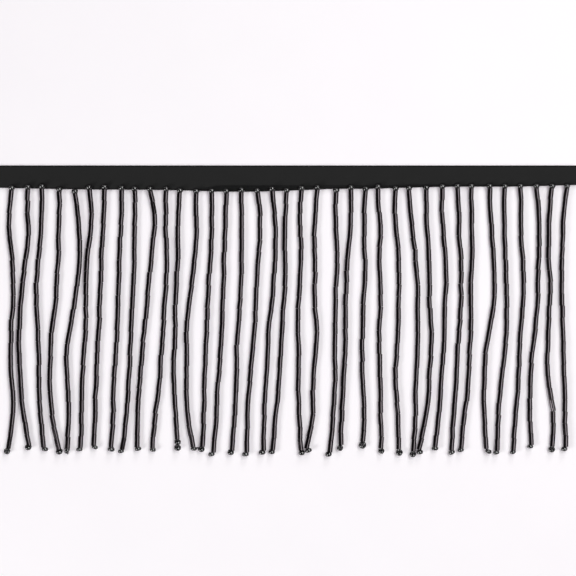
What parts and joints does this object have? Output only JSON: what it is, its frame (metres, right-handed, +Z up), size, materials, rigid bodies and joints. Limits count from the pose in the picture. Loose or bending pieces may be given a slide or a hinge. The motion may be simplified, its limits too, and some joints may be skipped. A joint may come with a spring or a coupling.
{
  "type": "beaded fringe trim",
  "caption": "Length of fringe trim lying flat: a narrow woven heading ribbon with long strands of glass bugle beads sewn along its lower edge, each strand ending in a seed bead.",
  "frame": {"origin": "middle of the trim's footprint, on the surface it lies on", "axes": "+X along the ribbon, to the right as seen from above with the fringe towards the viewer; +Y across the ribbon, away from the fringe; +Z up, out of the trim's face"},
  "size_m": [0.253, 0.1272, 0.0031],
  "materials": {
    "ribbon": "matt black woven ribbon",
    "beads": "opaque jet black glass, fire polished",
    "thread": "black polyester beading thread"
  },
  "bodies": {
    "root": {"heading_ribbon": "ribbon", "bead_fringe": "beads"}
  },
  "joints": []
}
